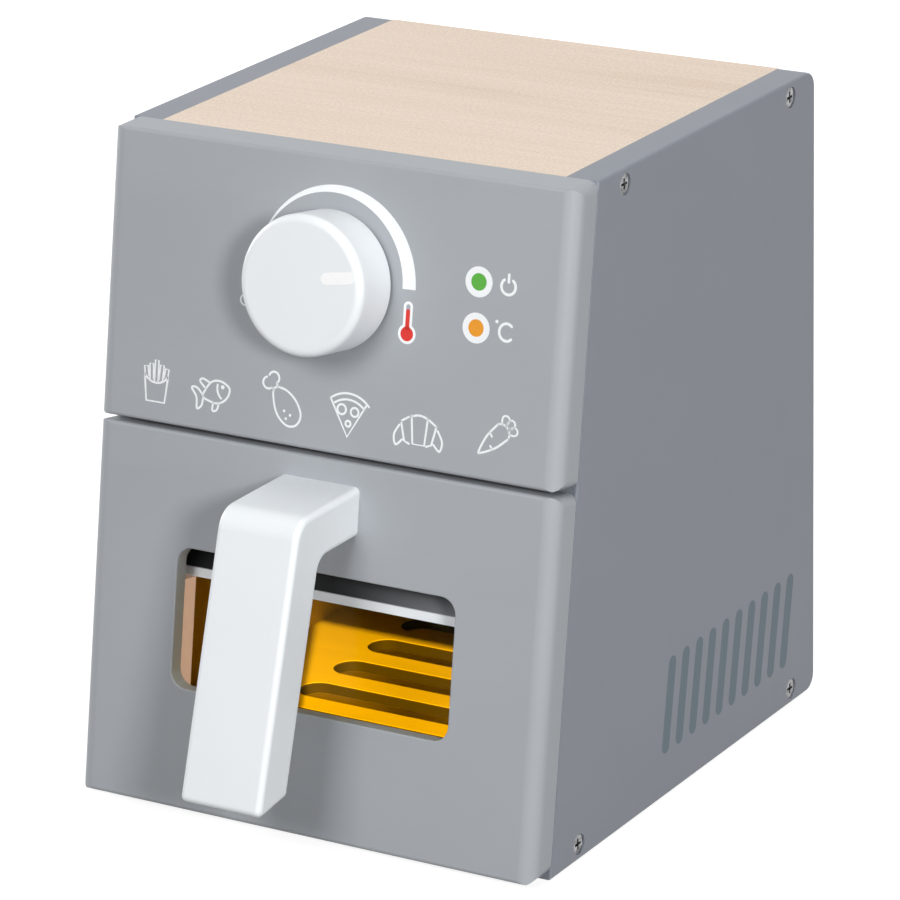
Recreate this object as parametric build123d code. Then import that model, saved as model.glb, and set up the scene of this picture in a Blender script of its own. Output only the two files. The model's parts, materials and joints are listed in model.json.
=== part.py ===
# Toy air fryer in painted board and natural beech, with a knob that turns and a drawer that slides.
# Millimetres. X is across the object, Y runs from the front to the back and Z is up.
# The origin is the centre of the housing's footprint on the surface that it stands on.

import math
import os

from build123d import *

# Housing
WIDTH = 157.0
HEIGHT = 200.0
FOOT_DEPTH = 167.5
FRONT_SLOPE = 9.6
SIDE_T = 10.5
BOARD_T = 9.6
BACK_T = 5.0
DIVIDER_T = 5.0
REAR_CORNER_R = 5.0
ARRIS_R = 0.8
GROOVE_DEPTH = 3.0
TOP_REAR_INSET = 3.5
BACK_INSET = 4.0

# Front boards: the control panel above and the drawer front below
FRONT_T = 11.2
FRONT_EDGE_R = 5.0
FRONT_REAR_EDGE_R = 0.6
FRONT_CORNER_R = 3.2
FRONT_ARRIS_R = 1.1
DRAWER_TOP_SLOPE = 113.6
FRONT_GAP = 1.5
DRAWER_LIFT = 2.0
DRAWER_SEAT_GAP = 0.3

# Window in the drawer front: a painted lip, then bare wood strips, with the pane and rail on the back
WINDOW_W = 95.2
WINDOW_H = 42.4
WINDOW_MID_SLOPE = 58.2
WINDOW_R = 5.0
WINDOW_ARRIS_R = 0.5
WINDOW_LIP = 5.0
REBATE_MARGIN = 6.0
PANE_MARGIN = 8.0
PANE_SIDE_GAP = 2.4
PANE_T = 2.0
PANE_TOP_DROP = 10.8
RAIL_T = 3.2

# Drawer box
DRAWER_SIDE_T = 8.0
DRAWER_SIDE_GAP = 1.0
DRAWER_SIDE_Z = 90.0
DRAWER_BACK_Z = 106.0
DRAWER_REAR_GAP = 6.0
DRAWER_RUN_GAP = 0.2
DRAWER_BASE_T = 5.0
DRAWER_BASE_LIFT = 0.8
SLAT_H = 3.5
SLOT_PITCH = 20.0
SLOT_COUNT = 6
SLOT_W = 12.0
SLOT_SIDE_MARGIN = 24.0
SLOT_REAR_MARGIN = 14.2
RUNNER_W = 8.0
RUNNER_H = 3.0
RUNNER_END_GAP = 4.0
STOP_W = 100.0
STOP_T = 8.0
STOP_DROP = 14.0
STOP_SETBACK = 18.4
STOP_PLAY = 0.3

# Handle
HANDLE_W = 27.2
HANDLE_TOP = 107.1
HANDLE_T = 14.4
HANDLE_REACH = 19.6
HANDLE_LEAN = 18.2
HANDLE_LOW_REAR = 27.3
HANDLE_LOW_FRONT = 25.4
HANDLE_OUTER_R = 8.0
HANDLE_INNER_R = 5.5
HANDLE_ARRIS_R = 1.8

# Knob
KNOB_R = 20.6
KNOB_H = 16.5
KNOB_SLOPE = 165.5
KNOB_FACE_R = 2.5
KNOB_BACK_BEVEL = 0.6
KNOB_GAP = 0.9
KNOB_BOLT_R = 2.0
KNOB_BOLT_CLEARANCE = 0.06
KNOB_BOLT_DEPTH = 8.0
KNOB_BOLT_HEAD_R = 4.0
KNOB_BOLT_HEAD_H = 2.6
KNOB_INSERT_R = 3.6
KNOB_INSERT_L = 10.0
WASHER_R = 7.0
WASHER_T = 1.0
WASHER_PLAY = 0.15
SPRING_WASHER_R = 4.4
SPRING_WASHER_T = 0.8
SPRING_WASHER_CONE = 0.5

# Wood screws and dowels
SCREW_R = 1.5
SCREW_HEAD_R = 3.0
SCREW_L = 28.0
SCREW_HOLE_CLEARANCE = 0.2
SCREW_HEAD_RIM = 0.3
SCREW_SINK = 0.4
CROSS_L = 3.4
CROSS_W = 0.8
CROSS_DEPTH = 1.3
SCREW_EDGE = 16.0
HANDLE_SCREW_X = 7.0
HANDLE_SCREW_L = 24.0
DOWEL_R = 3.0
DOWEL_L = 20.0
DOWEL_IN_FRONT = 7.0
PANEL_DOWEL_MARGIN = 18.0
DRAWER_DOWEL_R = 2.0
DRAWER_DOWEL_L = 16.0
DRAWER_DOWEL_LOW = 26.0
DRAWER_DOWEL_HIGH = 78.0

# Places worked out from the sizes above
SLOPE = math.radians(FRONT_SLOPE)
FOOT_FRONT_Y = -FOOT_DEPTH / 2
REAR_Y = FOOT_DEPTH / 2
INNER_W = WIDTH - 2 * SIDE_T
TOP_REAR_Y = REAR_Y - TOP_REAR_INSET
BACK_REAR_Y = TOP_REAR_Y - BACK_INSET
BACK_FRONT_Y = BACK_REAR_Y - BACK_T
TOP_BOARD_Z = HEIGHT - BOARD_T
PANEL_LOW_SLOPE = DRAWER_TOP_SLOPE + FRONT_GAP
DIVIDER_Z = PANEL_LOW_SLOPE * math.cos(SLOPE) + 0.7
RUNNER_TOP_Z = BOARD_T + RUNNER_H
DRAWER_Z = RUNNER_TOP_Z + DRAWER_RUN_GAP
BASE_Z = DRAWER_Z + DRAWER_BASE_LIFT
BASE_TOP_Z = BASE_Z + DRAWER_BASE_T
DRAWER_OUTER_W = INNER_W - 2 * DRAWER_SIDE_GAP
DRAWER_INNER_W = DRAWER_OUTER_W - 2 * DRAWER_SIDE_T
DRAWER_REAR_Y = BACK_FRONT_Y - DRAWER_REAR_GAP
DRAWER_BACK_Y = DRAWER_REAR_Y - DRAWER_SIDE_T
DRAWER_SIDE_X = (DRAWER_INNER_W + DRAWER_SIDE_T) / 2
STOP_Y = FOOT_FRONT_Y + DIVIDER_Z * math.tan(SLOPE) + STOP_SETBACK
DRAWER_TRAVEL = DRAWER_BACK_Y - (STOP_Y + STOP_T / 2) - STOP_PLAY
REBATE_DEPTH = FRONT_T - WINDOW_LIP
FAR = 3 * HEIGHT

# The sloping plane of the side panels' front edges: x across, y up the slope, z out of the front
FRONT = Plane(
    origin=(0, FOOT_FRONT_Y, 0),
    x_dir=(1, 0, 0),
    z_dir=(0, -math.cos(SLOPE), math.sin(SLOPE)),
)


def slope_at(height, out=0.0):
    """Distance up the slope of a point at that height, on the plane that far out of the front."""
    return (height - out * math.sin(SLOPE)) / math.cos(SLOPE)


def front_y(height, out=0.0):
    """Y of the sloping plane that lies that far out of the front, at that height."""
    return FOOT_FRONT_Y + height * math.tan(SLOPE) - out / math.cos(SLOPE)


def block(x0, x1, y0, y1, z0, z1):
    """Box between two corners."""
    return Pos((x0 + x1) / 2, (y0 + y1) / 2, (z0 + z1) / 2) * Box(x1 - x0, y1 - y0, z1 - z0)


def behind(out):
    """Everything behind the sloping plane that lies that far out of the front."""
    return FRONT * block(-FAR, FAR, -FAR, FAR, out - FAR, out)


def across(outline, width):
    """A YZ outline extruded to that width, centred on X 0."""
    return extrude(Plane.YZ * outline, amount=width / 2, both=True)


def wood_screw(length):
    """Countersunk wood screw with a cross recess, its head's face at the origin and its shank along -Z."""
    outline = Polyline(
        (0, 0),
        (SCREW_HEAD_R, 0),
        (SCREW_HEAD_R, -SCREW_HEAD_RIM),
        (SCREW_R, -SCREW_HEAD_RIM - SCREW_HEAD_R + SCREW_R),
        (SCREW_R, -length),
        (0, -length),
        close=True,
    )
    screw = revolve(Plane.XZ * make_face(outline), Axis.Z)
    for turn in (0, 90):
        screw -= Rot(0, 0, turn) * Pos(0, 0, -CROSS_DEPTH / 2) * Box(CROSS_L, CROSS_W, CROSS_DEPTH)
    return screw


def wood_screw_hole(length):
    """The countersink and hole for a wood screw, a little wider and deeper than its head."""
    mouth = SCREW_HEAD_R + SCREW_HOLE_CLEARANCE
    bore = SCREW_R + SCREW_HOLE_CLEARANCE
    outline = Polyline(
        (0, SCREW_SINK),
        (mouth, SCREW_SINK),
        (mouth, SCREW_HOLE_CLEARANCE - SCREW_HEAD_RIM),
        (bore, SCREW_HOLE_CLEARANCE - SCREW_HEAD_RIM - SCREW_HEAD_R + SCREW_R),
        (bore, -length),
        (0, -length),
        close=True,
    )
    return revolve(Plane.XZ * make_face(outline), Axis.Z)


def wood_screw_pilot(length):
    """The hole that a wood screw's shank fills."""
    return Pos(0, 0, -length / 2) * Cylinder(SCREW_R, length)


def side_screw_places():
    """YZ places of the four screws in each side panel."""
    low = BOARD_T / 2
    high = HEIGHT - BOARD_T / 2
    return [
        (front_y(low) + SCREW_EDGE, low),
        (REAR_Y - SCREW_EDGE, low),
        (front_y(high) + SCREW_EDGE, high),
        (REAR_Y - SCREW_EDGE, high),
    ]


def side_screw_seats(side):
    """Where each side screw goes, with its head's face a little under that side panel's outer face."""
    return [
        Location((side * (WIDTH / 2 - SCREW_SINK), y, z), (0, side * 90, 0))
        for y, z in side_screw_places()
    ]


def panel_dowel_seats():
    """Where the dowels cross the joint between the control panel and the side panels."""
    low = PANEL_LOW_SLOPE + PANEL_DOWEL_MARGIN
    high = slope_at(HEIGHT) - PANEL_DOWEL_MARGIN
    x = (WIDTH - SIDE_T) / 2
    return [FRONT * Pos(side * x, u, 0) for side in (-1, 1) for u in (low, high)]


def drawer_dowel_seats():
    """Where the dowels cross the joint between the drawer front and the drawer sides."""
    return [
        FRONT * Pos(side * DRAWER_SIDE_X, u, DRAWER_SEAT_GAP)
        for side in (-1, 1)
        for u in (DRAWER_DOWEL_LOW, DRAWER_DOWEL_HIGH)
    ]


def dowel(radius, length, in_front):
    """Dowel along Z, with that much of its length above the joint at the origin."""
    return Pos(0, 0, in_front - length / 2) * Cylinder(radius, length)


def panel_dowel():
    return dowel(DOWEL_R, DOWEL_L, DOWEL_IN_FRONT)


def drawer_dowel():
    return dowel(DRAWER_DOWEL_R, DRAWER_DOWEL_L, DOWEL_IN_FRONT)


def side_panel(side):
    """Painted side panel with grooves for the back and divider boards."""
    outline = make_face(Polyline(
        (FOOT_FRONT_Y, 0),
        (REAR_Y, 0),
        (REAR_Y, HEIGHT),
        (front_y(HEIGHT), HEIGHT),
        close=True,
    ))
    rear = outline.vertices().group_by(Axis.X)[-1]
    outline = fillet(rear, REAR_CORNER_R)
    outer_x = side * WIDTH / 2
    panel = Pos(outer_x - side * SIDE_T / 2, 0, 0) * across(outline, SIDE_T)
    outer_face = panel.faces().sort_by(Axis.X)[-1 if side > 0 else 0]
    panel = fillet(outer_face.edges(), ARRIS_R)
    inner_x = side * INNER_W / 2
    groove_x = inner_x + side * GROOVE_DEPTH
    x0, x1 = sorted((inner_x, groove_x))
    panel -= block(x0, x1, BACK_FRONT_Y, BACK_REAR_Y, BOARD_T - GROOVE_DEPTH, TOP_BOARD_Z + GROOVE_DEPTH)
    panel -= divider_blank(x0, x1)
    for seat in side_screw_seats(side):
        panel -= seat * wood_screw_hole(SCREW_L)
    for seat in panel_dowel_seats():
        panel -= seat * panel_dowel()
    return panel


def divider_blank(x0, x1):
    """The divider board's slab between two X places, up to the plane of the front."""
    slab = block(x0, x1, FOOT_FRONT_Y, BACK_FRONT_Y, DIVIDER_Z, DIVIDER_Z + DIVIDER_T)
    return slab & behind(0)


def top_board():
    """Natural wood board between the side panels, flush with the control panel's top."""
    half = INNER_W / 2
    board = block(-half, half, FOOT_FRONT_Y, TOP_REAR_Y, TOP_BOARD_Z, HEIGHT) & behind(0)
    board -= block(-half, half, BACK_FRONT_Y, BACK_REAR_Y, TOP_BOARD_Z, TOP_BOARD_Z + GROOVE_DEPTH)
    for side in (-1, 1):
        for seat in side_screw_seats(side):
            board -= seat * wood_screw_pilot(SCREW_L)
    return board


def bottom_board():
    """Board that the runners stand on."""
    half = INNER_W / 2
    board = block(-half, half, FOOT_FRONT_Y - BOARD_T, TOP_REAR_Y, 0, BOARD_T) & behind(-DRAWER_SEAT_GAP)
    board -= block(-half, half, BACK_FRONT_Y, BACK_REAR_Y, BOARD_T - GROOVE_DEPTH, BOARD_T)
    for side in (-1, 1):
        for seat in side_screw_seats(side):
            board -= seat * wood_screw_pilot(SCREW_L)
    return board


def back_board():
    """Board held in grooves all round, a little in from the rear."""
    half = INNER_W / 2 + GROOVE_DEPTH
    low = BOARD_T - GROOVE_DEPTH
    high = TOP_BOARD_Z + GROOVE_DEPTH
    return block(-half, half, BACK_FRONT_Y, BACK_REAR_Y, low, high)


def divider_board():
    """Shelf above the drawer, held in grooves in the side panels."""
    half = INNER_W / 2 + GROOVE_DEPTH
    return divider_blank(-half, half)


def drawer_stop():
    """Batten under the divider that the drawer's tall back meets when the drawer is open."""
    return block(
        -STOP_W / 2,
        STOP_W / 2,
        STOP_Y - STOP_T / 2,
        STOP_Y + STOP_T / 2,
        DIVIDER_Z - STOP_DROP,
        DIVIDER_Z,
    )


def runner(side):
    """Strip on the bottom board that one drawer side slides on."""
    x0, x1 = sorted((side * INNER_W / 2, side * (INNER_W / 2 - RUNNER_W)))
    y1 = BACK_FRONT_Y - RUNNER_END_GAP
    strip = block(x0, x1, FOOT_FRONT_Y, y1, BOARD_T, RUNNER_TOP_Z)
    return strip & behind(-RUNNER_END_GAP)


def slope_outline(low, high, corner):
    """Rounded rectangle the width of the front, extruded square to the slope."""
    shape = RectangleRounded(WIDTH, high - low, corner)
    return FRONT * Pos(0, (low + high) / 2, 0) * extrude(shape, amount=FAR, both=True)


def upright_outline(low, high, corner):
    """Rounded rectangle the width of the front, extruded level along Y."""
    shape = Plane.XZ * Pos(0, (low + high) / 2) * RectangleRounded(WIDTH, high - low, corner)
    return extrude(shape, amount=FAR, both=True)


def front_board(profile):
    """Board across the front from its profile of (out, up the slope) points, with rounded ends."""
    side_view = make_face(Polyline(*profile, close=True))
    outer = side_view.vertices().group_by(Axis.X)[-1]
    side_view = fillet(outer, FRONT_ARRIS_R)
    turned = Plane(origin=(0, 0, 0), x_dir=(0, 0, 1), z_dir=(-1, 0, 0)) * side_view
    board = extrude(turned, amount=WIDTH / 2, both=True)
    plan = Pos(0, FRONT_T / 2) * Rectangle(WIDTH, FRONT_T)
    ends = plan.vertices().group_by(Axis.Y)
    plan = fillet(ends[-1], FRONT_EDGE_R)
    plan = fillet(plan.vertices().group_by(Axis.Y)[0], FRONT_REAR_EDGE_R)
    board &= extrude(Plane.XZ * plan, amount=FAR, both=True)
    return FRONT * board


def control_panel():
    """Painted board over the upper front, with the hole for the knob's bolt."""
    profile = [
        (0, PANEL_LOW_SLOPE),
        (FRONT_T, PANEL_LOW_SLOPE),
        (FRONT_T, slope_at(HEIGHT, FRONT_T)),
        (0, slope_at(HEIGHT)),
    ]
    panel = front_board(profile)
    panel &= slope_outline(PANEL_LOW_SLOPE, FAR, FRONT_CORNER_R)
    panel &= upright_outline(0, HEIGHT, FRONT_CORNER_R)
    panel -= FRONT * Pos(0, KNOB_SLOPE, 0) * Cylinder(KNOB_BOLT_R + KNOB_BOLT_CLEARANCE, FAR)
    for seat in panel_dowel_seats():
        panel -= seat * panel_dowel()
    return panel


def window_shape(margin):
    """The window's outline, that much larger on every side, on the plane of the front."""
    shape = RectangleRounded(WINDOW_W + 2 * margin, WINDOW_H + 2 * margin, WINDOW_R + margin)
    return Pos(0, WINDOW_MID_SLOPE) * shape


def drawer_front():
    """Painted board with the window, and a rebate behind it for the bare wood strips."""
    profile = [
        (DRAWER_SEAT_GAP, slope_at(DRAWER_LIFT, DRAWER_SEAT_GAP)),
        (FRONT_T, slope_at(DRAWER_LIFT, FRONT_T)),
        (FRONT_T, DRAWER_TOP_SLOPE),
        (DRAWER_SEAT_GAP, DRAWER_TOP_SLOPE),
    ]
    board = front_board(profile)
    board &= slope_outline(-FAR, DRAWER_TOP_SLOPE, FRONT_CORNER_R)
    board &= upright_outline(DRAWER_LIFT, FAR, FRONT_CORNER_R)
    board -= FRONT * extrude(window_shape(0), amount=FAR, both=True)
    local = FRONT.to_local_coords(board)
    face = local.faces().sort_by(Axis.Z)[-1]
    rim = face.inner_wires()[0].edges()
    board = FRONT * fillet(rim, WINDOW_ARRIS_R)
    board -= window_slab(REBATE_MARGIN, 0, REBATE_DEPTH)
    for seat in handle_screw_seats():
        board -= seat * wood_screw_hole(HANDLE_SCREW_L)
    for seat in drawer_dowel_seats():
        board -= seat * drawer_dowel()
    return board


def window_slab(margin, low_out, high_out):
    """The window's outline, that much larger on every side, between two depths."""
    return FRONT * Pos(0, 0, low_out) * extrude(window_shape(margin), amount=high_out - low_out)


def slope_band(low, high):
    """Everything between two distances up the slope."""
    return FRONT * block(-FAR, FAR, low, high, -FAR, FAR)


def pane_top_slope():
    """Distance up the slope of the pane's top edge."""
    return WINDOW_MID_SLOPE + WINDOW_H / 2 - PANE_TOP_DROP


def pane_slab(low, high, thickness):
    """Flat piece on the back of the drawer front, a little narrower than the drawer is inside."""
    half = DRAWER_INNER_W / 2 - PANE_SIDE_GAP
    return FRONT * block(-half, half, low, high, DRAWER_SEAT_GAP - thickness, DRAWER_SEAT_GAP)


def window_pane():
    """Amber pane from below the window up to the rail."""
    return pane_slab(WINDOW_MID_SLOPE - WINDOW_H / 2 - PANE_MARGIN, pane_top_slope(), PANE_T)


def window_rail():
    """Pale rail from the pane's top edge to above the window."""
    return pane_slab(pane_top_slope(), WINDOW_MID_SLOPE + WINDOW_H / 2 + PANE_MARGIN, RAIL_T)


def pane_frame():
    """Bare wood strips in the rebate down both sides of the window, as high as the pane."""
    half = WINDOW_W / 2
    strips = window_slab(REBATE_MARGIN, DRAWER_SEAT_GAP, REBATE_DEPTH) & slope_band(0, pane_top_slope())
    return strips - FRONT * block(-half, half, 0, FAR, 0, FRONT_T)


def drawer_side(side):
    """Side of the drawer box, with its front end on the drawer front and a groove for the base."""
    x = side * DRAWER_SIDE_X
    half = DRAWER_SIDE_T / 2
    board = block(x - half, x + half, FOOT_FRONT_Y, DRAWER_REAR_Y, DRAWER_Z, DRAWER_SIDE_Z)
    board &= behind(DRAWER_SEAT_GAP)
    board -= drawer_base()
    for seat in drawer_dowel_seats():
        board -= seat * drawer_dowel()
    return board


def drawer_base():
    """Base of the drawer box, let into the sides and the back."""
    half = DRAWER_INNER_W / 2 + GROOVE_DEPTH
    base = block(-half, half, FOOT_FRONT_Y, DRAWER_BACK_Y + GROOVE_DEPTH, BASE_Z, BASE_TOP_Z)
    return base & behind(DRAWER_SEAT_GAP)


def drawer_back():
    """Back of the drawer box, taller than its sides so that it meets the stop."""
    half = DRAWER_INNER_W / 2
    board = block(-half, half, DRAWER_BACK_Y, DRAWER_REAR_Y, DRAWER_Z, DRAWER_BACK_Z)
    return board - drawer_base()


def drawer_slats():
    """Slatted board on the drawer's base: a row of slots with round ends between wide margins."""
    half = DRAWER_INNER_W / 2
    board = block(-half, half, FOOT_FRONT_Y, DRAWER_BACK_Y, BASE_TOP_Z, BASE_TOP_Z + SLAT_H)
    board &= behind(DRAWER_SEAT_GAP)
    slot = extrude(SlotOverall(DRAWER_INNER_W - 2 * SLOT_SIDE_MARGIN, SLOT_W), amount=SLAT_H)
    for index in range(SLOT_COUNT):
        y = DRAWER_BACK_Y - SLOT_REAR_MARGIN - index * SLOT_PITCH
        board -= Pos(0, y, BASE_TOP_Z) * slot
    return board


def handle_screw_seats():
    """Where the handle's two screws go, with their heads on the rear of the drawer front."""
    middle = slope_at(HANDLE_TOP - HANDLE_T / 2, FRONT_T) - HANDLE_T / 8
    return [
        FRONT * Pos(x, middle, DRAWER_SEAT_GAP) * Rot(0, 180, 0)
        for x in (-HANDLE_SCREW_X, HANDLE_SCREW_X)
    ]


def handle():
    """White inverted-L handle: a level block out of the drawer front, then a grip that leans out."""
    lean = math.radians(HANDLE_LEAN)
    under = HANDLE_TOP - HANDLE_T
    inner_y = front_y(under, FRONT_T) - HANDLE_REACH
    outer_y = inner_y - HANDLE_T / math.cos(lean)

    def grip_y(y, height):
        return y - (under - height) * math.tan(lean)

    outline = make_face(Polyline(
        (front_y(HANDLE_TOP, FRONT_T), HANDLE_TOP),
        (grip_y(outer_y, HANDLE_TOP), HANDLE_TOP),
        (grip_y(outer_y, HANDLE_LOW_FRONT), HANDLE_LOW_FRONT),
        (grip_y(inner_y, HANDLE_LOW_REAR), HANDLE_LOW_REAR),
        (inner_y, under),
        (front_y(under, FRONT_T), under),
        close=True,
    ))
    top_corners = outline.vertices().group_by(Axis.Y)[-1]
    outline = fillet(top_corners.sort_by(Axis.X)[0], HANDLE_OUTER_R)
    inner_corner = outline.vertices().sort_by_distance((inner_y, under, 0))[0]
    outline = fillet(inner_corner, HANDLE_INNER_R)
    grip = across(outline, HANDLE_W)
    seat_face = grip.faces().sort_by_distance(FRONT.from_local_coords((0, slope_at(under), FRONT_T)))
    seat = [f for f in seat_face if abs(f.normal_at().dot(FRONT.z_dir)) > 0.9999][0]
    kept = seat.edges()
    edges = [e for e in grip.edges() if not any(e.is_same(k) for k in kept)]
    grip = fillet(edges, HANDLE_ARRIS_R)
    for place in handle_screw_seats():
        grip -= place * wood_screw_pilot(HANDLE_SCREW_L)
    return grip


def knob_place(out):
    """The knob's axis, with its origin that far out of the plane of the front."""
    return FRONT * Pos(0, KNOB_SLOPE, out)


def knob_base_out():
    """How far out of the front the knob's back face stands."""
    return FRONT_T + KNOB_GAP


def knob():
    """White turned knob with a blind hole for its threaded insert."""
    body = Pos(0, 0, KNOB_H / 2) * Cylinder(KNOB_R, KNOB_H)
    rims = body.edges().filter_by(GeomType.CIRCLE).sort_by(Axis.Z)
    body = fillet(rims[-1], KNOB_FACE_R)
    rims = body.edges().filter_by(GeomType.CIRCLE).sort_by(Axis.Z)
    body = chamfer(rims[0], KNOB_BACK_BEVEL)
    body -= Pos(0, 0, KNOB_INSERT_L / 2) * Cylinder(KNOB_INSERT_R, KNOB_INSERT_L)
    return knob_place(knob_base_out()) * body


def ring(outer, inner, thickness):
    """Flat ring from the origin up Z."""
    return Pos(0, 0, thickness / 2) * (Cylinder(outer, thickness) - Cylinder(inner, thickness))


def knob_insert():
    """Threaded insert in the knob's back."""
    body = ring(KNOB_INSERT_R, KNOB_BOLT_R, KNOB_INSERT_L)
    return knob_place(knob_base_out()) * body


def knob_washer_front():
    """Washer that holds the knob off the panel."""
    thickness = KNOB_GAP - WASHER_PLAY
    return knob_place(knob_base_out() - thickness) * ring(WASHER_R, KNOB_BOLT_R, thickness)


def knob_washer_rear():
    """Washer behind the panel."""
    return knob_place(-WASHER_PLAY - WASHER_T) * ring(WASHER_R, KNOB_BOLT_R, WASHER_T)


def spring_washer_out():
    """How far out of the front the spring washer's rear face stands."""
    return -WASHER_PLAY - WASHER_T - SPRING_WASHER_T - SPRING_WASHER_CONE


def knob_spring_washer():
    """Coned washer that keeps the knob from turning by itself."""
    outline = make_face(Polyline(
        (KNOB_BOLT_R, 0),
        (KNOB_BOLT_R, SPRING_WASHER_T),
        (SPRING_WASHER_R, SPRING_WASHER_T + SPRING_WASHER_CONE),
        (SPRING_WASHER_R, SPRING_WASHER_CONE),
        close=True,
    ))
    return knob_place(spring_washer_out()) * revolve(Plane.XZ * outline, Axis.Z)


def knob_bolt():
    """Bolt from behind the panel into the knob's insert."""
    shank = knob_base_out() + KNOB_BOLT_DEPTH - spring_washer_out()
    head = Pos(0, 0, -KNOB_BOLT_HEAD_H / 2) * Cylinder(KNOB_BOLT_HEAD_R, KNOB_BOLT_HEAD_H)
    head = chamfer(head.edges().filter_by(GeomType.CIRCLE).sort_by(Axis.Z)[0], KNOB_BOLT_HEAD_H / 3)
    body = head + Pos(0, 0, shank / 2) * Cylinder(KNOB_BOLT_R, shank)
    for turn in (0, 90):
        recess = Pos(0, 0, CROSS_DEPTH / 2 - KNOB_BOLT_HEAD_H) * Box(CROSS_L, CROSS_W, CROSS_DEPTH)
        body -= Rot(0, 0, turn) * recess
    return knob_place(spring_washer_out()) * body


def build_nodes():
    """Every piece by its node name."""
    return {
        "side_panel_left": side_panel(-1),
        "side_panel_right": side_panel(1),
        "top_board": top_board(),
        "bottom_board": bottom_board(),
        "back_board": back_board(),
        "divider_board": divider_board(),
        "control_panel": control_panel(),
        "panel_dowels": Compound([seat * panel_dowel() for seat in panel_dowel_seats()]),
        "side_screws_left": Compound([seat * wood_screw(SCREW_L) for seat in side_screw_seats(-1)]),
        "side_screws_right": Compound([seat * wood_screw(SCREW_L) for seat in side_screw_seats(1)]),
        "runner_left": runner(-1),
        "runner_right": runner(1),
        "drawer_stop": drawer_stop(),
        "drawer_front": drawer_front(),
        "window_pane": window_pane(),
        "window_rail": window_rail(),
        "pane_frame": pane_frame(),
        "handle": handle(),
        "handle_screws": Compound([seat * wood_screw(HANDLE_SCREW_L) for seat in handle_screw_seats()]),
        "drawer_side_left": drawer_side(-1),
        "drawer_side_right": drawer_side(1),
        "drawer_back": drawer_back(),
        "drawer_base": drawer_base(),
        "drawer_slats": drawer_slats(),
        "drawer_dowels": Compound([seat * drawer_dowel() for seat in drawer_dowel_seats()]),
        "knob": knob(),
        "knob_insert": knob_insert(),
        "knob_bolt": knob_bolt(),
        "knob_washer_front": knob_washer_front(),
        "knob_washer_rear": knob_washer_rear(),
        "knob_spring_washer": knob_spring_washer(),
    }


os.makedirs("parts", exist_ok=True)
for name, shape in build_nodes().items():
    export_step(shape, f"parts/{name}.step")
print("drawer travel", round(DRAWER_TRAVEL, 3))
print("knob axis at", FRONT.from_local_coords((0, KNOB_SLOPE, FRONT_T)))
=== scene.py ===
import json
import math

import bmesh
import bpy
from mathutils import Matrix, Vector


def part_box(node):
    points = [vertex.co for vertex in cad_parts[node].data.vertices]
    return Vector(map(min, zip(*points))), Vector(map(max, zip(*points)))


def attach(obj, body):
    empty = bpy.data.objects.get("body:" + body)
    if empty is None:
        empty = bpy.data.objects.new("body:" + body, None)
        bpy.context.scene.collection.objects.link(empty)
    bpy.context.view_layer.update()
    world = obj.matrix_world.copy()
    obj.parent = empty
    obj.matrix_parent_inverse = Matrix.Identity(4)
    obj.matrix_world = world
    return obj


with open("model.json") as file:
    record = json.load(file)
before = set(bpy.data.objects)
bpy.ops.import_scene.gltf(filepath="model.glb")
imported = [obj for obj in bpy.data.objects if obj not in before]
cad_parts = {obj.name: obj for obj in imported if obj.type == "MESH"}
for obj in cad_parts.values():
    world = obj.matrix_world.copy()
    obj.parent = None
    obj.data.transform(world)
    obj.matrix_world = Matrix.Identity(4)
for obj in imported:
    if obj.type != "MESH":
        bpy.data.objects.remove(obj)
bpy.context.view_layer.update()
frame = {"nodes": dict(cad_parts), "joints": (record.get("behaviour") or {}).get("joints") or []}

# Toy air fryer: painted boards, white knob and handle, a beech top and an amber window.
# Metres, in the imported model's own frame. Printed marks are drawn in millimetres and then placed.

MM = 0.001
NODES = frame["nodes"]

# Camera, solved from the photograph's perspective: degrees, metres, and millimetres for the lens
CAMERA_AZIMUTH = 31.2
CAMERA_ELEVATION = 19.36
CAMERA_ROLL = -1.39
CAMERA_DISTANCE = 1.4852
CAMERA_TARGET = Vector((0.0017, -0.0069, 0.0947))
CAMERA_LENS = 197.45
CAMERA_SENSOR = 36.0
CAMERA_NEAR = 0.05
CAMERA_FAR = 50

# Lamps: azimuth and elevation in degrees, then distance, width and height in metres, then watts.
# Azimuth 0 is in front of the object.
LAMPS = {
    "key_right": (46, 19, 1.6, 0.26, 0.26, 12.5),
    "front_soft": (2, 32, 1.6, 0.6, 0.6, 12),
    "top_soft": (180, 80, 1.5, 1.2, 1.0, 6.6),
    "fill_right": (82, 6, 1.6, 0.6, 0.16, 5),
    "fill_left": (-98, 14, 1.6, 0.5, 0.5, 13),
    "back_soft": (184, 14, 1.6, 0.6, 0.6, 19),
    "window_key": (31, 23, 1.6, 0.03, 0.03, 80),
}
SEEN_THROUGH_WINDOW = ("drawer_slats", "pane_frame")

# Surroundings: near white where the camera, a reflection or clear sheet sees them, and dim as light
SEEING_RAYS = ("Is Camera Ray", "Is Glossy Ray", "Is Transmission Ray")
AMBIENT = 0.03
AMBIENT_TINT = (0.97, 0.985, 1.0, 1.0)
FLOOR_SIZE = 8.0
FLOOR_DROP = 0.0003
FLOOR_GLOW = 0.86
FLOOR_SHADE = (0.3, 0.3, 0.3, 1.0)
FLOOR_BOUNCE = (0.08, 0.08, 0.08, 1.0)
PURE_WHITE = (1.0, 1.0, 1.0, 1.0)

# The control panel's face: the knob's axis is square to it. A slope is millimetres up that face,
# and KNOB_FACE_OUT is how far the knob's own face stands out of it.
KNOB_JOINT = next(j for j in frame["joints"] if j["name"] == "knob_turn")
FACE_NORMAL = Vector(KNOB_JOINT["axis"]).normalized()
FACE_UP = Vector((1, 0, 0)).cross(FACE_NORMAL) * -1
KNOB_CENTRE = Vector(KNOB_JOINT["pos_m"])
KNOB_SLOPE = 165.5
KNOB_FACE_OUT = 17.4

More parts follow.
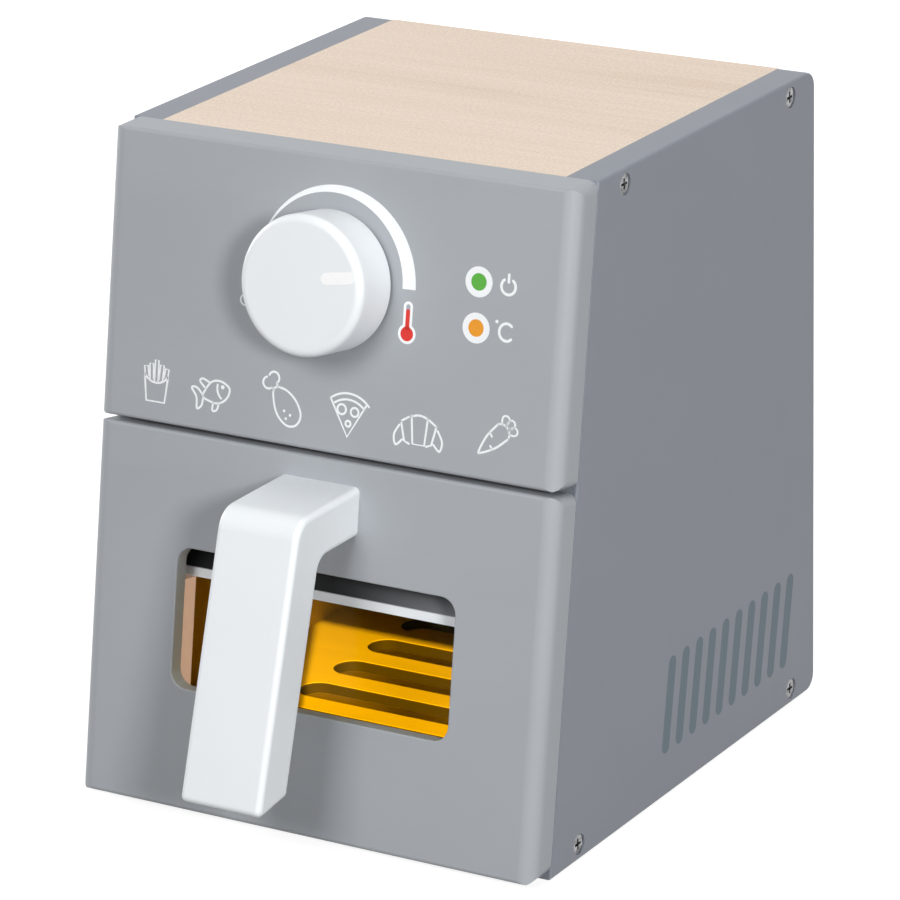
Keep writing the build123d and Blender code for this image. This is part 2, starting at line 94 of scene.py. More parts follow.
# Printed marks, in millimetres: how thick they are, how deep they go in, and how wide lines are.
# The thermometer's filling goes in deeper than its outline.
MARK_T = 0.05
MARK_SUNK = 0.02
FILLING_SUNK = 0.005
LINE_W = 0.64
THIN_LINE_W = 0.5
LEAF_LINE_W = 0.56
SYMBOL_LINE_W = 0.82

# Curves of the marks: degrees in one step of an arc, steps between two points of a smooth curve,
# and the angles at which a line's round end has its points
ARC_STEP = 6.0
CURVE_STEPS = 6
CAP_ANGLES = (80, 55, 30)

# Centres of the marks, as x and slope
MARK_PLACES = {
    "fries": (-58.2, 127.5),
    "fish": (-38.0, 126.8),
    "drumstick": (-14.1, 128.4),
    "pizza": (8.0, 127.0),
    "croissant": (31.8, 125.6),
    "carrot": (57.6, 128.4),
    "power": (58.1, 171.8),
    "celsius": (57.8, 158.6),
    "dial_arc": (0.0, 166.2),
}
GREEN_LAMP = (48.5, 171.5)
ORANGE_LAMP = (48.5, 158.3)
HOT_THERMOMETER = (26.0, 153.4)
COLD_THERMOMETER = (-28.9, 155.7)

# Colours are the materials' own, as sRGB values from 0 to 255, except the side panels' grey,
# which is the front's paint made darker as painted shade. The slats and strips behind the pane
# are darker than the other bare wood, because the window's own lamp lights them.
GREY = (163, 167, 172)
# Painted shade: the front's grey paint made darker for the side panels
PAINTED_SHADE_SIDE_GREY = (130, 135, 144)
WHITE = (236, 240, 243)
MARK_WHITE = (244, 246, 248)
POINTER_WHITE = (255, 255, 255)
RED = (214, 46, 38)
GREEN = (84, 168, 58)
ORANGE = (232, 152, 34)
VENT_BLUE = (89, 105, 115)
BEECH = (250, 232, 215)
BEECH_DARK = (233, 211, 190)
PLY = (226, 203, 176)
PLY_DARK = (196, 164, 130)
AMBER = (255, 239, 120)
SLAT = (208, 191, 176)
SLAT_DARK = (190, 170, 152)
STRIP = (136, 110, 92)
STRIP_DARK = (116, 92, 74)
STEEL = (172, 172, 174)
BRASS = (205, 170, 96)
NYLON = (226, 224, 216)

# Texture sizes are how many cells a metre holds. A pair is along and across the grain.
PAINT_CLOUD = 38
PAINT_GRAIN = (22, 900)
STIPPLE = 900
INK_SPECKLE = 1400
METAL_MARKS = 600
WOOD_BAND = (4, 45)
WOOD_GRAIN = (9, 380)
WOOD_FLECK = (70, 900)
PLY_BANDS = 130.0

# Depths of the surface's relief, in metres
GREY_GRAIN_DEPTH = 0.00003
WHITE_GRAIN_DEPTH = 0.00002
STIPPLE_DEPTH = 0.00003
RAIL_STIPPLE_DEPTH = 0.00002
FINEST_DEPTH = 0.00001

# Noise values between which a tone or gloss goes from one end of its range to the other
NOISE_SPREAD = (0.3, 0.7)

# The window's rail is white this far up. Above that it is the front's grey as painted shade,
# multiplied by a painted shadow share which rises from the first value at X 0 to the second at the
# end X.
RAIL_WHITE = 2.8 * MM
RAIL_BLEND = 0.2 * MM
RAIL_PAINTED_SHADE_END = 0.045
RAIL_PAINTED_SHADE = (0.04, 0.5)

# The slatted board's slots darken between these two depths under its face, down to this tone:
# painted shade on the slots' walls
SLOT_START = 0.1 * MM
SLOT_FULL = 0.4 * MM
SLOT_PAINTED_SHADE = 0.08

# The amber pane's gloss
PANE_IOR = 1.14
PANE_ROUGHNESS = 0.02


def linear(colour):
    """An sRGB colour from 0 to 255 as linear RGBA."""
    parts = []
    for value in colour:
        share = value / 255
        parts.append(share / 12.92 if share <= 0.04045 else ((share + 0.055) / 1.055) ** 2.4)
    return (*parts, 1.0)


def scaled(colour, factor):
    """A linear colour made lighter or darker."""
    return (*(min(1.0, part * factor) for part in colour[:3]), 1.0)


def between(first, second, share):
    """A linear colour part of the way from one to another."""
    return tuple(a + (b - a) * share for a, b in zip(first, second))


def even(scale):
    """A texture's scale, the same on every axis."""
    return (scale, scale, scale)


def stretched(sizes, axis):
    """A texture's scale with the grain along one axis."""
    along, across = sizes
    scale = [across] * 3
    scale["XYZ".index(axis)] = along
    return tuple(scale)


# Node helpers

class Shader:
    """A material's node tree with short calls for its usual nodes."""

    def __init__(self, name):
        self.material = bpy.data.materials.new(name)
        self.material.use_nodes = True
        self.tree = self.material.node_tree
        self.principled = self.tree.nodes["Principled BSDF"]
        self.output = self.tree.nodes["Material Output"]

    def node(self, kind, **settings):
        """A new node with its settings."""
        made = self.tree.nodes.new(kind)
        for key, value in settings.items():
            setattr(made, key, value)
        return made

    def link(self, out_socket, in_socket):
        """Feeds one socket into another."""
        self.tree.links.new(out_socket, in_socket)

    def coordinates(self, scale=(1, 1, 1)):
        """Object coordinates stretched by that much on each axis."""
        source = self.node("ShaderNodeTexCoord")
        mapping = self.node("ShaderNodeMapping")
        mapping.inputs["Scale"].default_value = scale
        self.link(source.outputs["Object"], mapping.inputs["Vector"])
        return mapping.outputs["Vector"]

    def coordinate(self, axis):
        """One of the object coordinates."""
        apart = self.node("ShaderNodeSeparateXYZ")
        self.link(self.coordinates(), apart.inputs[0])
        return apart.outputs[axis]

    def noise(self, scale, detail, roughness=0.5, distortion=0.0):
        """Noise with about as many cells in a metre as its scale says."""
        made = self.node("ShaderNodeTexNoise")
        made.inputs["Scale"].default_value = 1.0
        made.inputs["Detail"].default_value = detail
        made.inputs["Roughness"].default_value = roughness
        made.inputs["Distortion"].default_value = distortion
        self.link(self.coordinates(scale), made.inputs["Vector"])
        return made.outputs["Fac"]

    def ramp(self, value, stops):
        """A colour ramp from (place, colour) pairs."""
        made = self.node("ShaderNodeValToRGB")
        elements = made.color_ramp.elements
        while len(elements) < len(stops):
            elements.new(0.5)
        for element, (place, colour) in zip(elements, stops):
            element.position = place
            element.color = colour
        self.link(value, made.inputs["Fac"])
        return made.outputs["Color"]

    def span(self, value, low, high, to_low, to_high):
        """A value moved from one range to another and held there."""
        made = self.node("ShaderNodeMapRange")
        made.inputs["From Min"].default_value = low
        made.inputs["From Max"].default_value = high
        made.inputs["To Min"].default_value = to_low
        made.inputs["To Max"].default_value = to_high
        self.link(value, made.inputs["Value"])
        return made.outputs["Result"]

    def mix(self, factor, first, second, blend="MIX"):
        """Two colours mixed by a value. The node's colour sockets have no names of their own."""
        made = self.node("ShaderNodeMix", data_type="RGBA", blend_type=blend)
        share, colour_a, colour_b = (made.inputs[index] for index in (0, 6, 7))
        for socket, value in ((share, factor), (colour_a, first), (colour_b, second)):
            if isinstance(value, bpy.types.NodeSocket):
                self.link(value, socket)
            else:
                socket.default_value = value
        return made.outputs[2]

    def multiply(self, first, second):
        """Two colours multiplied."""
        return self.mix(1.0, first, second, "MULTIPLY")

    def bump(self, height, depth, strength, normal=None):
        """A bump that many metres deep."""
        made = self.node("ShaderNodeBump")
        made.inputs["Strength"].default_value = strength
        made.inputs["Distance"].default_value = depth
        self.link(height, made.inputs["Height"])
        if normal is not None:
            self.link(normal, made.inputs["Normal"])
        return made.outputs["Normal"]

    def finish(self, colour, roughness, normal):
        """Feeds the surface shader and gives the finished material."""
        for value, name in ((colour, "Base Color"), (roughness, "Roughness"), (normal, "Normal")):
            self.link(value, self.principled.inputs[name])
        return self.material


# Materials

def paint(name, colour, grain_axis, roughness, grain_depth, contrast):
    """Satin paint over fine board: roller stipple, and the board's grain just showing."""
    shader = Shader(name)
    base = linear(colour)
    low, high = NOISE_SPREAD
    cloud = shader.noise(even(PAINT_CLOUD), detail=4)
    dark = scaled(base, 1 - contrast)
    bright = scaled(base, 1 + contrast)
    tone = shader.ramp(cloud, [(low, dark), (high, bright)])
    grain = shader.noise(stretched(PAINT_GRAIN, grain_axis), detail=3, roughness=0.6)
    streak = shader.span(grain, 0.35, 0.75, 1.0, 1.0 - contrast * 0.8)
    tone = shader.multiply(tone, streak)
    stipple = shader.noise(even(STIPPLE), detail=2)
    fine = shader.bump(stipple, STIPPLE_DEPTH, 0.5)
    normal = shader.bump(grain, grain_depth, 0.6, fine)
    satin = shader.span(cloud, low, high, roughness - 0.03, roughness + 0.04)
    return shader.finish(tone, satin, normal)


def grey_paint(name, colour, grain_axis):
    """The housing's paint."""
    return paint(name, colour, grain_axis, 0.42, GREY_GRAIN_DEPTH, 0.012)


def white_paint(name):
    """The knob's and handle's paint."""
    return paint(name, WHITE, "Z", 0.4, WHITE_GRAIN_DEPTH, 0.006)


def rail_paint_and_painted_shade(name):
    """White paint along the rail's lower edge; above it, the front's grey as painted shade, darker
    towards the left as the handle's painted shadow.
    """
    shader = Shader(name)
    low_edge = min(FACE_UP.dot(vertex.co) for vertex in NODES["window_rail"].data.vertices)
    edge = low_edge + RAIL_WHITE
    up = shader.node("ShaderNodeVectorMath", operation="DOT_PRODUCT")
    up.inputs[1].default_value = FACE_UP
    shader.link(shader.coordinates(), up.inputs[0])
    above = shader.span(up.outputs["Value"], edge - RAIL_BLEND, edge + RAIL_BLEND, 0.0, 1.0)
    # Painted shadow of the handle: darkest at X 0 and to its left, half the grey from the end X on
    shade = shader.span(shader.coordinate("X"), 0.0, RAIL_PAINTED_SHADE_END, *RAIL_PAINTED_SHADE)
    grey = shader.multiply(linear(GREY), shade)
    tone = shader.mix(above, linear(WHITE), grey)
    shader.principled.inputs["Specular IOR Level"].default_value = 0.12
    stipple = shader.noise(even(STIPPLE), detail=2)
    normal = shader.bump(stipple, RAIL_STIPPLE_DEPTH, 0.4)
    rough = shader.span(stipple, *NOISE_SPREAD, 0.4, 0.48)
    return shader.finish(tone, rough, normal)


def wood(name, pale, dark, grain_axis, ply_axis=None, slots_below=None):
    """Fine-grained matt wood with short darker flecks.

    Plies show across ply_axis where that is given; what lies lower than slots_below is painted
    shade.
    """
    shader = Shader(name)
    light = linear(pale)
    deep = linear(dark)
    band = shader.noise(stretched(WOOD_BAND, grain_axis), detail=3, distortion=0.4)
    tone = shader.ramp(band, [(0.3, light), (0.62, between(light, deep, 0.3)), (0.85, deep)])
    grain = shader.noise(stretched(WOOD_GRAIN, grain_axis), detail=3)
    streak = shader.span(grain, 0.3, 0.8, 1.01, 0.95)
    tone = shader.multiply(tone, streak)
    fleck = shader.noise(stretched(WOOD_FLECK, grain_axis), detail=1)
    fleck_mask = shader.span(fleck, 0.62, 0.78, 0.0, 0.16)
    tone = shader.mix(fleck_mask, tone, scaled(deep, 0.85))
    if ply_axis:
        plies = shader.node("ShaderNodeTexWave", wave_type="BANDS", bands_direction=ply_axis)
        plies.inputs["Scale"].default_value = PLY_BANDS
        plies.inputs["Distortion"].default_value = 0.6
        plies.inputs["Detail Scale"].default_value = 8.0
        shader.link(shader.coordinates(), plies.inputs["Vector"])
        layer = shader.span(plies.outputs["Fac"], 0.35, 0.65, 1.0, 0.8)
        tone = shader.multiply(tone, layer)
    # Painted shade: the slots' walls under the board's face go dark
    if slots_below is not None:
        full = slots_below - SLOT_FULL
        start = slots_below - SLOT_START
        slot = shader.span(shader.coordinate("Z"), full, start, 1.0, 0.0)
        tone = shader.mix(slot, tone, scaled(deep, SLOT_PAINTED_SHADE))
    shader.principled.inputs["Specular IOR Level"].default_value = 0.2
    normal = shader.bump(grain, FINEST_DEPTH, 0.5)
    rough = shader.span(band, *NOISE_SPREAD, 0.63, 0.73)
    return shader.finish(tone, rough, normal)


def ink(name, colour):
    """Screen-printed ink or moulded plastic: one colour with slight unevenness."""
    shader = Shader(name)
    base = linear(colour)
    low, high = NOISE_SPREAD
    speckle = shader.noise(even(INK_SPECKLE), detail=2)
    tone = shader.ramp(speckle, [(low, scaled(base, 0.97)), (high, base)])
    normal = shader.bump(speckle, FINEST_DEPTH, 0.3)
    rough = shader.span(speckle, low, high, 0.46, 0.54)
    return shader.finish(tone, rough, normal)


def metal(name, colour, roughness, darkest):
    """Bare metal with fine turning marks."""
    shader = Shader(name)
    base = linear(colour)
    marks = shader.noise(even(METAL_MARKS), detail=4)
    tone = shader.ramp(marks, [(0.35, scaled(base, darkest)), (0.65, base)])
    rough = shader.span(marks, 0.2, 0.8, roughness - 0.06, roughness + 0.08)
    normal = shader.bump(marks, FINEST_DEPTH, 0.4)
    shader.principled.inputs["Metallic"].default_value = 1.0
    return shader.finish(tone, rough, normal)


def amber_acrylic(name):
    """Clear amber sheet: light passes tinted, and the surface keeps its gloss."""
    shader = Shader(name)
    shader.tree.nodes.remove(shader.principled)
    clear = shader.node("ShaderNodeBsdfTransparent")
    clear.inputs["Color"].default_value = linear(AMBER)
    gloss = shader.node("ShaderNodeBsdfGlossy")
    gloss.inputs["Color"].default_value = PURE_WHITE
    gloss.inputs["Roughness"].default_value = PANE_ROUGHNESS
    fresnel = shader.node("ShaderNodeFresnel")
    fresnel.inputs["IOR"].default_value = PANE_IOR
    mixed = shader.node("ShaderNodeMixShader")
    shader.link(fresnel.outputs["Fac"], mixed.inputs[0])
    shader.link(clear.outputs["BSDF"], mixed.inputs[1])
    shader.link(gloss.outputs["BSDF"], mixed.inputs[2])
    shader.link(mixed.outputs["Shader"], shader.output.inputs["Surface"])
    return shader.material


def dress(material, node_names):
    """Gives CAD nodes their material."""
    for node_name in node_names:
        mesh = NODES[node_name].data
        mesh.materials.clear()
        mesh.materials.append(material)


def dress_nodes():
    """Every CAD node in its own finish."""
    # The side panels get the darker grey, which is painted shade
    dress(grey_paint("grey_paint_with_painted_shade", PAINTED_SHADE_SIDE_GREY, "Z"), ("side_panel_left", "side_panel_right"))
    boards_across = ("control_panel", "drawer_front", "back_board", "bottom_board")
    dress(grey_paint("grey_paint_across", GREY, "X"), boards_across)
    dress(white_paint("white_paint"), ("knob", "handle"))
    dress(rail_paint_and_painted_shade("rail_paint_and_painted_shade"), ("window_rail",))
    dress(wood("beech_top", BEECH, BEECH_DARK, "X", "Z"), ("top_board",))
    dress(wood("plywood_flat", PLY, PLY_DARK, "Y", "Z"), ("divider_board", "drawer_base"))
    dress(wood("plywood_across", PLY, PLY_DARK, "X", "Y"), ("drawer_back",))
    drawer_sides = ("drawer_side_left", "drawer_side_right")
    dress(wood("plywood_upright", PLY, PLY_DARK, "Y", "X"), drawer_sides)
    slats_top = max(vertex.co.z for vertex in NODES["drawer_slats"].data.vertices)
    dress(wood("slat_wood_with_painted_slot_shade", SLAT, SLAT_DARK, "X", slots_below=slats_top), ("drawer_slats",))
    dress(wood("strip_wood", STRIP, STRIP_DARK, "Z"), ("pane_frame",))
    small_wood = ("drawer_stop", "panel_dowels", "drawer_dowels")
    dress(wood("bare_beech", BEECH_DARK, PLY_DARK, "X"), small_wood)
    dress(wood("bare_beech_long", BEECH_DARK, PLY_DARK, "Y"), ("runner_left", "runner_right"))
    dress(amber_acrylic("amber_acrylic"), ("window_pane",))
    screws = ("side_screws_left", "side_screws_right", "handle_screws")
    steel = metal("zinc_steel", STEEL, roughness=0.2, darkest=0.3)
    dress(steel, screws + ("knob_bolt", "knob_spring_washer"))
    dress(metal("brass", BRASS, roughness=0.3, darkest=0.8), ("knob_insert",))
    dress(ink("nylon", NYLON), ("knob_washer_front", "knob_washer_rear"))


# Where marks go

def face_matrix(x, slope, out=0.0):
    """Places millimetres drawn in a plane onto the painted face at x and slope, lifted by out."""
    turn = Matrix((
        (MM, 0, 0),
        (0, FACE_UP.y * MM, FACE_NORMAL.y * MM),
        (0, FACE_UP.z * MM, FACE_NORMAL.z * MM),
    ))
    along = FACE_UP * ((slope - KNOB_SLOPE) * MM)
    placed = turn.to_4x4()
    placed.translation = KNOB_CENTRE + Vector((x * MM, 0, 0)) + along + FACE_NORMAL * (out * MM)
    return placed


def side_matrix(side):
    """Places (y, z) millimetres onto the outer face of a side panel."""
    low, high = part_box("side_panel_right" if side > 0 else "side_panel_left")
    x = high.x if side > 0 else low.x
    turn = Matrix(((0, 0, side * MM), (MM, 0, 0), (0, MM, 0)))
    placed = turn.to_4x4()
    placed.translation = Vector((x, 0, 0))
    return placed


# Outlines

def arc(centre, radius, start, end, ratio=1.0):
    """Points of an arc, angles in degrees. The ratio is an ellipse's height to its width."""
    count = max(3, int(abs(end - start) / ARC_STEP) + 1)
    points = []
    for index in range(count + 1):
        angle = math.radians(start + (end - start) * index / count)
        x = radius * math.cos(angle)
        y = radius * ratio * math.sin(angle)
        points.append((centre[0] + x, centre[1] + y))
    return points


def ring(centre, radius, end=360):
    """Points round a circle for a closed line, whose last stretch closes what end leaves open."""
    return arc(centre, radius, 0, end)[:-1]


def smooth(points, closed=False):
    """A smooth curve through points."""
    count = len(points)
    made = []
    spans = count if closed else count - 1
    for index in range(spans):
        if closed:
            around = [Vector(points[(index + k) % count]) for k in (-1, 0, 1, 2)]
        else:
            around = [Vector(points[min(max(index + k, 0), count - 1)]) for k in (-1, 0, 1, 2)]
        p0, p1, p2, p3 = around
        for step in range(CURVE_STEPS):
            t = step / CURVE_STEPS
            made.append(tuple(0.5 * (
                2 * p1 + (p2 - p0) * t
                + (2 * p0 - 5 * p1 + 4 * p2 - p3) * t * t
                + (3 * p1 - p0 - 3 * p2 + p3) * t ** 3
            )))
    if not closed:
        made.append(tuple(points[-1]))
    return made


def turned(points, degrees, at=(0.0, 0.0)):
    """Points turned about the origin, then moved."""
    angle = math.radians(degrees)
    return [
        (
            at[0] + x * math.cos(angle) - y * math.sin(angle),
            at[1] + x * math.sin(angle) + y * math.cos(angle),
        )
        for x, y in points
    ]


class Mark:
    """One printed mark: thin closed solids drawn in millimetres."""

    def __init__(self):
        self.mesh = bmesh.new()

    def strip(self, points, half_widths, closed=False):
        """A band along points whose half width is given at each of them."""
        count = len(points)
        rows = []
        for index, (x, y) in enumerate(points):
            if closed:
                ahead = points[(index + 1) % count]
                behind = points[index - 1]
            else:
                ahead = points[min(index + 1, count - 1)]
                behind = points[max(index - 1, 0)]
            along = Vector((ahead[0] - behind[0], ahead[1] - behind[1])).normalized()
            half = half_widths[index]
            left = (x - along.y * half, y + along.x * half)
            right = (x + along.y * half, y - along.x * half)
            rows.append([
                self.mesh.verts.new((*corner, height))
                for corner in (left, right)
                for height in (MARK_T - MARK_SUNK, -MARK_SUNK)
            ])
        # A row is left top, left low, right top, right low
        last = count if closed else count - 1
        for index in range(last):
            row = rows[index]
            after = rows[(index + 1) % count]
            for first, second in ((0, 2), (3, 1), (2, 3), (1, 0)):
                self.mesh.faces.new((row[first], row[second], after[second], after[first]))
        if not closed:
            self.mesh.faces.new([rows[0][corner] for corner in (0, 1, 3, 2)])
            self.mesh.faces.new([rows[-1][corner] for corner in (2, 3, 1, 0)])

    def line(self, points, width=LINE_W, closed=False):
        """A line of one width, with round ends unless it is closed."""
        half = width / 2
        if closed:
            self.strip(points, [half] * len(points), True)
            return
        first = Vector(points[0])
        last = Vector(points[-1])
        back = (first - Vector(points[1])).normalized()
        on = (last - Vector(points[-2])).normalized()
        angles = [math.radians(a) for a in CAP_ANGLES]
        start = [tuple(first + back * half * math.sin(a)) for a in angles]
        end = [tuple(last + on * half * math.sin(a)) for a in reversed(angles)]
        caps = [half * math.cos(a) for a in angles]
        self.strip(
            start + list(points) + end,
            caps + [half] * len(points) + caps[::-1],
        )

    def disc(self, centre, radius):
        """A filled round dot."""
        points = ring(centre, radius)
        top = [self.mesh.verts.new((*p, MARK_T - MARK_SUNK)) for p in points]
        low = [self.mesh.verts.new((*p, -MARK_SUNK)) for p in points]
        self.mesh.faces.new(top)
        self.mesh.faces.new(low[::-1])
        for index in range(len(points)):
            after = (index + 1) % len(points)
            self.mesh.faces.new((top[index], low[index], low[after], top[after]))

    def place(self, name, matrix, material, body="housing", slot=None):
        """Makes the object where it belongs and lets it ride on its body."""
        bmesh.ops.transform(self.mesh, matrix=matrix, verts=self.mesh.verts)
        bmesh.ops.recalc_face_normals(self.mesh, faces=self.mesh.faces)
        mesh = bpy.data.meshes.new(name)
        self.mesh.to_mesh(mesh)
        self.mesh.free()
        mesh.materials.append(material)
        made = bpy.data.objects.new(name, mesh)
        bpy.context.scene.collection.objects.link(made)
        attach(made, body)


# Food pictograms, each about its own centre

def fries():
    """A paper cup with five sticks."""
    mark = Mark()
    mark.line([(-4.1, 1.6), (-3.2, -6.2), (3.2, -6.2), (4.1, 1.6)])
    mark.line(arc((0, 3.9), 4.7, 212, 328, 0.95))
    half = 0.62
    sticks = ((-3.1, 9, 4.1), (-1.55, 4, 5.0), (0, 0, 6.2), (1.55, -4, 4.9), (3.1, -9, 4.0))
    for x, lean, top in sticks:
        low = -0.2 + abs(x) * 0.45
        stick = [(-half, low), (-half, top), (half, top), (half, low)]
        mark.line(turned(stick, lean, (x, 0)), THIN_LINE_W)
    return mark


def fish():
    """A round-bodied fish with its tail to the left."""
    mark = Mark()
    tilt = 20
    body = [
        (5.8, 0.0), (3.6, 2.7), (0.2, 3.3), (-3.2, 1.0),
        (-3.9, 0.0), (-3.0, -1.3), (0.4, -3.2), (3.8, -2.6),
    ]
    tail = [
        (-3.9, 0.4), (-5.2, 2.8), (-7.0, 3.2), (-6.2, 0.2),
        (-7.0, -3.0), (-5.2, -2.6), (-3.9, -0.4),
    ]
    upper_fin = [(-0.6, 3.4), (-2.4, 4.9), (-3.6, 4.4), (-2.3, 1.9)]
    lower_fin = [(0.9, -3.3), (-0.4, -5.0), (-1.9, -4.8), (-1.0, -2.7)]
    mark.line(turned(smooth(body, closed=True), tilt), closed=True)
    for outline in (tail, upper_fin, lower_fin):
        mark.line(turned(smooth(outline), tilt))
    mark.line(turned(arc((5.4, 0), 3.9, 148, 212), tilt))
    eye = turned([(3.6, 1.0)], tilt)[0]
    mark.disc(eye, 0.62)
    return mark


def drumstick():
    """A leg with its bone at the upper left."""
    mark = Mark()
    meat = [
        (-3.0, 3.1), (0.8, 3.0), (4.5, 0.2), (6.3, -3.8),
        (4.8, -6.9), (1.5, -7.3), (-1.7, -4.6), (-3.2, -0.4),
    ]
    mark.line(smooth(meat, closed=True), closed=True)
    mark.line(arc((-3.4, 6.0), 1.75, -50, 160))
    mark.line(arc((-5.3, 4.3), 1.75, 110, 318))
    mark.line([(-2.4, 4.6), (-2.0, 3.4)])
    mark.line([(-4.0, 3.1), (-3.2, 2.4)])
    for place in ((0.6, -3.2), (2.7, -4.2), (1.3, -5.4)):
        mark.disc(place, 0.42)
    return mark


def pizza():
    """A slice with its crust at the top and three round toppings."""
    mark = Mark()
    mark.line([(-6.0, 4.4), (0.2, -6.2), (6.0, 3.6)])
    mark.line(arc((0, -3.2), 9.7, 44, 128))
    mark.line(arc((0, -3.2), 7.9, 47, 125))
    toppings = (((-2.1, 1.6), 1.45, 354), ((2.3, 1.3), 1.3, 354), ((0.3, -2.3), 0.85, 348))
    for centre, radius, end in toppings:
        mark.line(ring(centre, radius, end), closed=True)
    return mark


def croissant():
    """A middle roll with a fold and a tip on each side."""
    mark = Mark()
    mark.line([(-2.5, 4.6), (-1.7, -3.5), (2.2, -3.5), (2.9, 4.4)])
    mark.line(arc((0.2, 0.6), 4.9, 56, 124, 0.9))
    for side in (-1, 1):
        shoulder = [(side * 3.4, 4.1), (side * 5.9, 2.6)]
        fold = [(side * 5.9, 2.6), (side * 4.5, -3.0), (side * 2.9, -3.6)]
        tip = [(side * 6.4, 1.4), (side * 8.0, -1.6), (side * 7.3, -4.4), (side * 5.2, -2.7)]
        mark.line(smooth(shoulder))
        mark.line(fold)
        mark.line(smooth(tip))
    return mark


def carrot():
    """A carrot that points down to the left, with three leaves."""
    mark = Mark()
    tilt = 43
    root = [(2.6, 2.6), (-2.6, 2.1), (-7.4, 0.3), (-7.4, -0.5), (-2.6, -2.2), (2.6, -2.6)]
    mark.line(turned(smooth(root), tilt))
    mark.line(turned(arc((1.5, 0), 2.8, -67, 67), tilt))
    leaf = [(0.0, 0.5), (1.2, 1.1), (2.4, 1.0), (2.9, 0.0), (2.4, -1.0), (1.2, -1.1), (0.0, -0.5)]
    for angle, across in ((30, 1.2), (0, 0.0), (-30, -1.2)):
        placed = turned(smooth(leaf), angle, (4.3 - abs(across) * 0.35, across))
        mark.line(turned(placed, tilt), LEAF_LINE_W)
    for crease in ([(-1.2, 2.2), (-1.4, 1.0)], [(-3.6, -1.8), (-3.5, -0.8)]):
        mark.line(turned(crease, tilt))
    return mark


# Other marks on the control panel

def power_symbol():
    """An open circle with a short bar at its top."""
    mark = Mark()
    mark.line(arc((0, -0.4), 2.3, 128, 412), SYMBOL_LINE_W)
    mark.line([(0, 0.9), (0, 3.0)], SYMBOL_LINE_W)
    return mark


def celsius_symbol():
    """A C with a degree dot before it."""
    mark = Mark()
    mark.line(arc((0.6, -0.2), 2.35, 48, 312, 1.06), SYMBOL_LINE_W)
    mark.disc((-2.7, 2.5), 0.5)
    return mark


def dial_arc():
    """The crescent round the knob: two circles a little apart, cut level at its thick end."""
    mark = Mark()
    outer_centre = Vector((1.2, 0.0))
    inner_centre = Vector((-0.8, 0.0))
    outer_r = 26.8
    inner_r = 24.5
    steps = 60
    points = []
    halves = []
    for index in range(steps + 1):
        angle = math.radians(180 - 180 * index / steps)
        ray = Vector((math.cos(angle), math.sin(angle)))
        outer = outer_centre + ray * outer_r
        inner = inner_centre + ray * inner_r
        points.append(tuple((outer + inner) / 2))
        halves.append((outer - inner).dot(ray) / 2)
    mark.strip(points, halves)
    return mark


def thermometer(bulb_r, stem_half, length, line_w):
    """A thermometer's outline about its bulb's centre."""
    mark = Mark()
    lift = math.degrees(math.asin(stem_half / bulb_r))
    outline = arc((0, 0), bulb_r, 90 + lift, 450 - lift)
    outline += arc((0, length - stem_half), stem_half, 0, 180)
    mark.line(outline, line_w, closed=True)
    return mark


def thermometer_filling():
    """What fills the hot thermometer: its bulb and most of its stem."""
    bulb_r = 2.12
    stem_w = 1.35
    mark = Mark()
    mark.disc((0, 0), bulb_r)
    mark.line([(0, 1.9), (0, 6.5)], stem_w)
    return mark


def lamp(name, place, material, white):
    """A coloured dot in a white ring."""
    dot_r = 2.5
    ring_r = 4.4
    border = Mark()
    border.line(ring((0, 0), (dot_r + ring_r) / 2), ring_r - dot_r, closed=True)
    border.place(name + "_ring", face_matrix(*place), white, slot="white_paint")
    dot = Mark()
    dot.disc((0, 0), dot_r)
    dot.place(name + "_dot", face_matrix(*place), material)


def vents(side, material):
    """Ten leaning stripes low on a side panel."""
    count = 10
    pitch = 8.49
    lean = 4.85
    low_y = -14.1
    low_z = 15.8
    high_z = 40.9
    width = 4.4
    mark = Mark()
    for index in range(count):
        y = low_y + index * pitch
        mark.line([(y, low_z), (y + lean, high_z)], width)
    name = "vent_stripes_right" if side > 0 else "vent_stripes_left"
    mark.place(name, side_matrix(side), material)


def knob_pointer():
    """The short bar printed on the knob's face, off its centre."""
    width = 3.4
    mark = Mark()
    mark.line([(8.6, 3.3), (16.4, 4.5)], width)
    on_knob = face_matrix(0, KNOB_SLOPE, KNOB_FACE_OUT)
    pointer_ink = ink("pointer_ink", POINTER_WHITE)
    mark.place("knob_pointer", on_knob, pointer_ink, "knob_unit", "white_paint")


def print_marks():
    """Everything printed on the painted faces."""
    white = ink("white_ink", MARK_WHITE)
    drawn = {
        "fries": fries,
        "fish": fish,
        "drumstick": drumstick,
        "pizza": pizza,
        "croissant": croissant,
        "carrot": carrot,
        "power": power_symbol,
        "celsius": celsius_symbol,
        "dial_arc": dial_arc,
    }
    for name, draw in drawn.items():
        on_face = face_matrix(*MARK_PLACES[name])
        draw().place("print_" + name, on_face, white, slot="white_paint")
    lamp("print_green", GREEN_LAMP, ink("green_ink", GREEN), white)
    lamp("print_orange", ORANGE_LAMP, ink("orange_ink", ORANGE), white)
    hot = thermometer(bulb_r=2.5, stem_half=1.1, length=9.0, line_w=0.8)
    hot.place("print_thermometer_hot", face_matrix(*HOT_THERMOMETER), white, slot="white_paint")
    under_hot = face_matrix(*HOT_THERMOMETER, -FILLING_SUNK)
    thermometer_filling().place("print_thermometer_red", under_hot, ink("red_ink", RED))
    cold = thermometer(bulb_r=1.55, stem_half=0.75, length=7.6, line_w=THIN_LINE_W)
    cold.place("print_thermometer_cold", face_matrix(*COLD_THERMOMETER), white, slot="white_paint")
    vent_ink = ink("vent_ink", VENT_BLUE)
    for side in (-1, 1):
        vents(side, vent_ink)
    knob_pointer()


# Floor, light and camera

